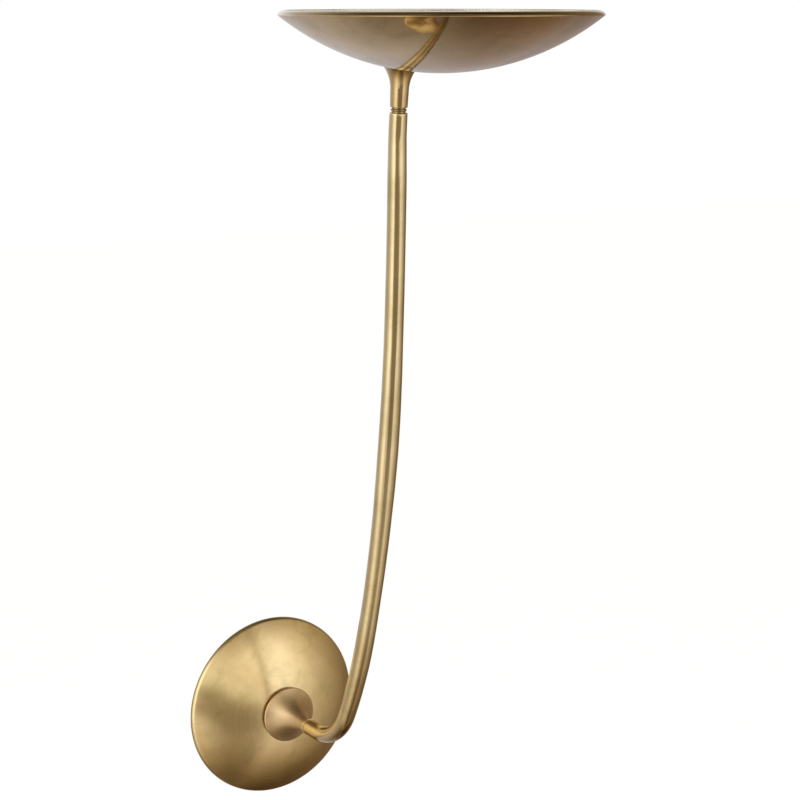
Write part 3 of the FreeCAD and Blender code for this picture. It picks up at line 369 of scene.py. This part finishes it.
# ---------------------------------------------------------------------------------------------------------
# Bell. Turned from solid brass as a trumpet: a thin straight edge, one long hollow flare, a short nose. It
# is left as the lathe leaves it, in a satin finish with fine rings, and screws down over the centre tube.
BELL_RADIUS, BELL_EDGE, BELL_LENGTH, NOSE_RADIUS, NOSE_RUN = 19.2, 1.0, 29.3, 5.5, 4.0
BELL_NOSE = BELL_BASE + BELL_LENGTH
flare_rise = BELL_LENGTH - BELL_EDGE - NOSE_RUN
flare_step = BELL_RADIUS - NOSE_RADIUS
flare_radius = (flare_step**2 + flare_rise**2) / (2 * flare_step)
flare_end = math.degrees(math.asin(flare_rise / flare_radius))
flare_centre = (NOSE_RADIUS + flare_radius, BELL_NOSE - NOSE_RUN)
flare = list(arc(flare_centre, flare_radius, 180 + flare_end - 0.6, 180, 56))
bell_rim = list(arc((BELL_RADIUS - 0.3, BELL_BASE + 0.3), 0.3, -90, 0, 5))
bell_shoulder = list(arc((BELL_RADIUS - 0.25, BELL_BASE + BELL_EDGE - 0.3), 0.25, 0, 50, 4))
bell_nose = [(NOSE_RADIUS, BELL_NOSE - 0.25), (NOSE_RADIUS - 0.2, BELL_NOSE - CLEAR)]
bell_nose += [(SPIGOT_HOLE, BELL_NOSE - CLEAR)]
bell_inside = [(SPIGOT_HOLE, 42.0), (TUBE_HOLE, 42.0), (TUBE_HOLE, 34.0), (6.6, 34.0), (13.0, BELL_BASE)]
bell = turned("bell_turned", bell_rim + bell_shoulder + flare + bell_nose + bell_inside, WALL_AXIS)
dress(bell, antique_brass("satin_brass_bell", 0.40, tone=(1.02, 0.97, 1.06), grain=1.6, brushed=0.5,
                          coat=0.15), "antique_brass", "bell")

# ---------------------------------------------------------------------------------------------------------
# Joint ring. A thin polished ring with a round edge, pinched between the bell's nose and the arm.
RING_FLAT, RING_BULGE = 5.1, 0.38
ring_back, ring_middle, ring_front = BELL_NOSE + CLEAR, BELL_NOSE + 0.5, BELL_NOSE + 1.0 - CLEAR
ring_profile = [(SPIGOT_HOLE, ring_back), (RING_FLAT, ring_back), (RING_FLAT, ring_back + 0.1)]
ring_profile += list(arc((5.42, ring_middle), RING_BULGE, -80, 80, 10))
ring_profile += [(RING_FLAT, ring_front - 0.1), (RING_FLAT, ring_front), (SPIGOT_HOLE, ring_front)]
joint = turned("joint_ring_turned", ring_profile, WALL_AXIS, 128)
dress(joint, antique_brass("bright_brass_ring", 0.14, tone=(1.15, 1.12, 1.08), grain=0.5),
      "bright_brass", "joint_ring")

# ---------------------------------------------------------------------------------------------------------
# Arm. One brass tube, straight out of the bell, bent up round a former and then swept in ever flatter
# curves, with a slight counter-bend at the top. Bending has left it a little oval half-way up. Its drawn
# marks run along it.
ARM_START = BELL_NOSE + 1.0
ARM_BENDS = [(45.8, 61.9), (332.0, 11.5), (845.0, 12.78), (2598.8, 2.94), (142.0, -4.02)]
ROOT_RUN, TIP_RUN, TUBE_END, TUBE_BORE = 10.4, 10.0, 5.5, 4.65
# Height up the arm, half-width across the sweep, half-width in the sweep's plane
ARM_SECTION = [(-1, 5.5, 5.5), (12, 5.65, 5.65), (45, 5.8, 5.8), (67, 6.0, 5.95), (111, 5.85, 5.9),
               (139, 6.05, 5.9), (167, 6.25, 5.85), (193, 6.65, 5.8), (213, 6.8, 5.8), (233, 6.7, 5.8),
               (258, 6.4, 5.85), (284, 6.05, 5.95), (309, 5.95, 5.95), (346, 5.87, 5.9), (382, 5.9, 5.9),
               (400, 5.7, 5.7), (412, 5.55, 5.55), (425, 5.5, 5.5)]


def arm_line(step=2.0):
    """Points down the arm's middle: distance from the wall, height, and climb in radians."""
    out, up, climb = ARM_START, 0.0, 0.0
    yield out, up, climb
    for number in range(int(ROOT_RUN / step) + 1):
        out += ROOT_RUN / (int(ROOT_RUN / step) + 1)
        yield out, up, climb
    for radius, turn in ARM_BENDS:
        turn = math.radians(turn)
        count = max(6, int(radius * abs(turn) / step))
        for number in range(count):
            piece = turn / count
            chord = 2 * radius * math.sin(abs(piece) / 2)
            out += chord * math.cos(climb + piece / 2)
            up += chord * math.sin(climb + piece / 2)
            climb += piece
            yield out, up, climb
    for number in range(5):
        out += TIP_RUN / 5 * math.cos(climb)
        up += TIP_RUN / 5 * math.sin(climb)
        yield out, up, climb


def section_at(height):
    """The arm's two half-widths at a height, eased between the rows of its table."""
    for (low, *near), (high, *far) in zip(ARM_SECTION, ARM_SECTION[1:]):
        if height <= high:
            part = (height - low) / (high - low)
            part = part * part * (3 - 2 * part)
            return [a + (b - a) * part for a, b in zip(near, far)]
    return ARM_SECTION[-1][1:]


def swept(name, stations, segments=96):
    """A tube skin through stations of (middle, out, half-widths, way), closed back through its bore."""
    rings = []
    for middle, out, wide, deep, run in stations:
        rings.append([((middle + Vector((wide * c, 0, 0)) + out * deep * s) * MM, (c, s, run * MM))
                      for c, s in circle(segments)])
    return skinned(name, rings)


line = list(arm_line())
skin, run = [], 0.0
for number, (out, up, climb) in enumerate(line):
    if number:
        run += math.dist(line[number - 1][:2], (out, up))
    wide, deep = section_at(up)
    skin.append((Vector((0, -out, up)), Vector((0, math.sin(climb), math.cos(climb))), wide, deep, run))
tip_climb = line[-1][2]
arm_tip, tip_way = skin[-1][0], Vector((0, -math.cos(tip_climb), math.sin(tip_climb)))
roots = [(skin[0][0] + Vector((0, -shift, 0)), skin[0][1], TUBE_END - trim, TUBE_END - trim, 0.0)
         for shift, trim in ((0.0, 0.35), (0.12, 0.1), (0.3, 0.0))]
ends = [(arm_tip - tip_way * back, skin[-1][1], TUBE_END - trim, TUBE_END - trim, run - back)
        for back, trim in ((0.7, 0.0), (0.35, 0.12), (0.1, 0.35), (0.0, 0.6))]
bore = [(middle, out, TUBE_BORE, TUBE_BORE, way_run) for middle, out, wide, deep, way_run in skin[::-1]]
arm = swept("arm_tube_bent", roots + skin[1:-1] + ends + bore)
dress(arm, antique_brass("antique_brass_arm", 0.13, lay="along", tone=(1.02, 1.08, 1.14), grain=0.9),
      "antique_brass", "arm_tube")

# ---------------------------------------------------------------------------------------------------------
# Groove and neck. A coupler with one small bead shows between arm and neck, its brass toned darker as
# painted shade in the groove. The neck is turned, straight above the groove and then flared, with its top
# cut to the round underside of the dish.
GROOVE, COUPLER, BEAD, STUD_HOLE = 3.0, 4.5, 4.95, 3.0
lean = math.radians(90) - tip_climb
tip_turn = Matrix.Rotation(lean, 4, "X")
groove_floor = COUPLER - 0.25
groove = [(STUD_HOLE, -9.0), (4.62, -9.0), (4.62, -0.05), (groove_floor, 0.05), (groove_floor, 0.75)]
groove += list(arc((BEAD - 0.6, GROOVE / 2), 0.6, -75, 75, 12))
groove += [(groove_floor, GROOVE - 0.75), (groove_floor, GROOVE - 0.05), (COUPLER, GROOVE + 0.2)]
groove += [(COUPLER, 12.0), (STUD_HOLE, 12.0)]
coupler = turned("neck_coupler_turned", groove, Matrix.Translation(arm_tip * MM) @ tip_turn, 128)
# Its darker tone is painted shade in the groove.
dress(coupler, antique_brass("coupler_brass_painted_shade", 0.24, tone=(0.62, 0.58, 0.52)),
      "dark_brass", "neck_coupler")

DISH_RADIUS, DISH_DEPTH, DISH_WALL = 94.5, 33.2, 1.2
CAP_RADIUS = (DISH_RADIUS**2 + DISH_DEPTH**2) / (2 * DISH_DEPTH)
NECK_LENGTH, NECK_OFFSET, NECK_ROWS = 31.5, 44.2, 90
NECK_FOOT, NECK_WAIST, NECK_FLARE = 13.0, 5.65, 22.0
dish_height = NECK_LENGTH * math.cos(lean) - CAP_RADIUS + math.sqrt(CAP_RADIUS**2 - NECK_OFFSET**2)
dish_centre = arm_tip + Vector((0, -NECK_LENGTH * math.sin(lean) - NECK_OFFSET, dish_height))
cap_middle = dish_centre + Vector((0, 0, CAP_RADIUS))
neck_profile = [(4.55, 3.0), (4.7, 3.0)] + list(arc((4.75, 3.6), 0.6, -90, 0, 6))[1:]
neck_profile += [(5.35 + 0.3 * step / 8, 3.6 + 9.9 * step / 8) for step in range(1, 8)]
foot_angle = math.degrees(math.acos((NECK_FLARE - NECK_FOOT + NECK_WAIST) / NECK_FLARE))
neck_profile += list(arc((NECK_WAIST + NECK_FLARE, 13.5), NECK_FLARE, 180, 180 - foot_angle, 40))
neck_profile += [(NECK_FOOT, 33.0 + 0.5 * step) for step in range(14)]
neck_bore = [(4.05, 28.0), (4.05, 12.3), (4.55, 12.3)]


def cut_to_dish(name, profile, hollow, place, segments=192):
    """The neck's profile carried round, each line stopped where it meets the dish's underside."""
    reach = CAP_RADIUS + CLEAR
    columns = []
    for c, s in circle(segments):
        points = [place @ Vector((radius * c, radius * s, height)) for radius, height in profile]
        kept = []
        for start, finish in zip(points, points[1:]):
            kept.append(start)
            if (finish - cap_middle).length < reach:
                near, far = 0.0, 1.0
                for _ in range(24):
                    middle = (near + far) / 2
                    past = (start.lerp(finish, middle) - cap_middle).length < reach
                    near, far = (near, middle) if past else (middle, far)
                kept.append(start.lerp(finish, near))
                break
        lengths = [0.0]
        for a, b in zip(kept, kept[1:]):
            lengths.append(lengths[-1] + (b - a).length)
        column = []
        for number in range(NECK_ROWS):
            target = lengths[-1] * number / (NECK_ROWS - 1)
            at = max(index for index, length in enumerate(lengths) if length <= target + 1e-9)
            at = min(at, len(kept) - 2)
            share = (target - lengths[at]) / (lengths[at + 1] - lengths[at])
            column.append((kept[at].lerp(kept[at + 1], share) * MM, (c, s, target * MM)))
        column += [(place @ Vector((radius * c, radius * s, height)) * MM, (c, s, 0.0))
                   for radius, height in hollow]
        columns.append(column)
    return skinned(name, list(zip(*columns)))


neck = cut_to_dish("neck_turned", neck_profile, neck_bore, Matrix.Translation(arm_tip) @ tip_turn)
dress(neck, antique_brass("antique_brass_neck", 0.12, tone=(0.98, 0.94, 0.90), grain=0.8),
      "antique_brass", "neck")

# ---------------------------------------------------------------------------------------------------------
# Dish. A wide, shallow bowl spun from sheet brass, its rim folded in to a short bowed lip. It is polished
# more than the rest before ageing, so that the arm and the wall cover show in it. The lip is coloured
# darker, and the inside past the lip is coloured pale.
LIP_HEIGHT, LIP_INSET, LIP_BOW = 2.8, 4.0, 4.5
DISH_PLACE = Matrix.Translation(dish_centre * MM)
cap_half = math.degrees(math.asin(DISH_RADIUS / CAP_RADIUS))
bowl = list(arc((0, CAP_RADIUS), CAP_RADIUS, -90, -90 + cap_half - 0.12, 110))
bowl[0] = (0.0, 0.0)
mouth, lip_top = DISH_RADIUS - LIP_INSET, DISH_DEPTH + LIP_HEIGHT


def bowed(start, finish, radius, steps):
    """Points from start to finish on an arc that bulges outwards."""
    a, b = Vector(start), Vector(finish)
    half = (b - a) / 2
    normal = Vector((-half.y, half.x)).normalized()
    centre = (a + b) / 2 + normal * math.sqrt(radius**2 - half.length**2)
    begin = math.atan2(a.y - centre.y, a.x - centre.x)
    end = math.atan2(b.y - centre.y, b.x - centre.x)
    for step in range(steps + 1):
        angle = begin + (end - begin) * step / steps
        yield centre.x + radius * math.cos(angle), centre.y + radius * math.sin(angle)


lip = list(bowed((DISH_RADIUS, DISH_DEPTH), (mouth, lip_top - 0.1), LIP_BOW, 20))
fold = [(DISH_RADIUS - 0.12, DISH_DEPTH - 0.08), (DISH_RADIUS - 0.02, DISH_DEPTH + 0.02)]
lip_edge = [(mouth - 0.12, lip_top - 0.2), (mouth - 0.12, lip_top - DISH_WALL + 0.1)]
inner_fold = (math.sqrt((CAP_RADIUS - DISH_WALL)**2 - (CAP_RADIUS - DISH_DEPTH)**2), DISH_DEPTH)
lip_inside = list(bowed(inner_fold, (mouth, lip_top - DISH_WALL), LIP_BOW, 12))[::-1]
inner_half = math.degrees(math.asin(inner_fold[0] / (CAP_RADIUS - DISH_WALL)))
bowl_inside = list(arc((0, CAP_RADIUS), CAP_RADIUS - DISH_WALL, -90 + inner_half - 0.3, -90, 90))
bowl_inside[-1] = (0.0, DISH_WALL)
dish_profile = bowl + fold + lip[1:] + lip_edge + lip_inside + bowl_inside
dish = turned("dish_spun", dish_profile, DISH_PLACE, 384, False)

# The real bowl mirrors the arm and the cover as one drawn tighter across than outwards would. The mesh stays
# round, and only the shading of the underside follows that tighter curve.
CURVE_ACROSS, CURVE_OUT, BOWL_ACROSS, BOWL_OUT, BOWL_SHIFT = 118.0, 200.0, 199.0, 259.5, 3.6
sphere_middle = Vector((0, 0, CAP_RADIUS))
flow = [corner.vector.copy() for corner in dish.data.corner_normals]
for face in dish.data.polygons:
    points = [dish.data.vertices[vertex].co / MM for vertex in face.vertices]
    if all(abs((point - sphere_middle).length - CAP_RADIUS) < 0.05 for point in points):
        for loop, point in zip(face.loop_indices, points):
            across, out = point.x, point.y - BOWL_SHIFT
            down = math.sqrt(1 - (across / BOWL_ACROSS)**2 - (out / BOWL_OUT)**2)
            flow[loop] = Vector((across / CURVE_ACROSS, out / CURVE_OUT, -down)).normalized()
dish.data.normals_split_custom_set(flow)
dress(dish, antique_brass("antique_brass_dish", 0.065, tone=(0.92, 0.88, 0.86), grain=0.7, coat=0.6,
                          stain=0.6, dark_run=(0.1024, 0.1072), inside=(0.80, 0.77, 0.72, 1.0)),
      "antique_brass", "dish")

# ---------------------------------------------------------------------------------------------------------
# Diffuser. A frosted opal disc with a softened edge. It lies loose on the reflector pan and lifts out.
DIFFUSER_LOW, DIFFUSER_THICK, DIFFUSER_RADIUS = 32.0, 2.5, DISH_RADIUS - LIP_INSET - 0.8
diffuser_top = DIFFUSER_LOW + DIFFUSER_THICK
disc = [(DIFFUSER_RADIUS * step / 6, DIFFUSER_LOW) for step in range(6)]
disc += list(arc((DIFFUSER_RADIUS - 0.5, DIFFUSER_LOW + 0.5), 0.5, -90, 0, 5))
disc += list(arc((DIFFUSER_RADIUS - 0.7, diffuser_top - 0.7), 0.7, 0, 90, 7))
disc += [(DIFFUSER_RADIUS * step / 6, diffuser_top) for step in range(5, -1, -1)]
diffuser = turned("diffuser_frosted", disc, DISH_PLACE, 256, False)


def plain_finish(name, colour, rough, metallic=0.0, mottle=0.06, scale=180.0, bump=0.05, coat=0.0):
    """A moulded, plated or painted finish with a little unevenness in tone, gloss and surface."""
    finish, base, place = new_finish(name)
    cloud = base.node("ShaderNodeTexNoise", None, {"Vector": place, "Scale": scale * 0.35, "Detail": 3.0})
    fine = base.node("ShaderNodeTexNoise", None, {"Vector": place, "Scale": scale * 8, "Detail": 2.0})
    shade = tuple(part * (1 - 2.2 * mottle) for part in colour)
    light = tuple(min(1.0, part * (1 + mottle)) for part in colour)
    tint = (cloud * 0.7 + fine * 0.3).span(0.3, 0.7).choose((*shade, 1.0), (*light, 1.0))
    gloss = rough + (cloud - 0.5) * 0.12 + (fine - 0.5) * 0.05
    relief = base.node("ShaderNodeBump", None, {"Height": fine, "Strength": bump, "Distance": 0.0002})
    return set_shader(finish, {"Base Color": tint, "Roughness": gloss, "Normal": relief},
                      {"Metallic": metallic, "Coat Weight": coat})


dress(diffuser, plain_finish("frosted_opal", (0.86, 0.86, 0.85), 0.48, scale=300.0, mottle=0.02, bump=0.12),
      "frosted_opal", "diffuser", body="diffuser")

# ---------------------------------------------------------------------------------------------------------
# Plain hardware. These CAD pieces keep their own shape and get their own finish: the plated strap, nut,
# washer and screws, the unlacquered threaded tubes, the cast plate and pillars, and the moulded and sheathed
# parts.


def finish_nodes(finish, *names):
    """Gives CAD nodes a finish and leaves their shape as it is."""
    for name in names:
        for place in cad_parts[name].material_slots:
            place.material = finish


finish_nodes(plain_finish("zinc_plate", (0.62, 0.62, 0.60), 0.30, metallic=1.0, scale=260.0, mottle=0.08),
             "mounting_bar", "lock_nut", "lock_washer", "plate_screws", "board_screws")
finish_nodes(plain_finish("raw_brass", (0.74, 0.58, 0.30), 0.24, metallic=1.0, scale=220.0, mottle=0.08),
             "centre_nipple", "root_spigot", "neck_stud", "saddle_washer", "stud_nut")
finish_nodes(plain_finish("natural_nylon", (0.80, 0.78, 0.72), 0.45),
             "nipple_bush", "box_connector", "terminal_block")
finish_nodes(plain_finish("green_plate", (0.10, 0.34, 0.16), 0.34, metallic=0.7), "earth_screw")
finish_nodes(plain_finish("green_sheath", (0.10, 0.36, 0.13), 0.42), "earth_lead")
finish_nodes(plain_finish("grey_sheath", (0.42, 0.42, 0.41), 0.45), "supply_lead")
finish_nodes(plain_finish("white_sheath", (0.80, 0.80, 0.78), 0.42), "board_leads")
finish_nodes(plain_finish("black_rubber", (0.03, 0.03, 0.03), 0.62), "plate_grommet")
finish_nodes(plain_finish("cast_aluminium", (0.72, 0.73, 0.74), 0.36, metallic=1.0),
             "plate_pillars", "heat_spreader")
finish_nodes(plain_finish("white_mask", (0.84, 0.84, 0.82), 0.35, coat=0.3), "led_board")
finish_nodes(plain_finish("phosphor", (0.86, 0.70, 0.22), 0.25, coat=0.6), "led_chips")
finish_nodes(plain_finish("black_mould", (0.04, 0.04, 0.04), 0.40), "driver_parts")
finish_nodes(plain_finish("white_enamel", (0.84, 0.84, 0.82), 0.30, coat=0.4), "reflector_pan")
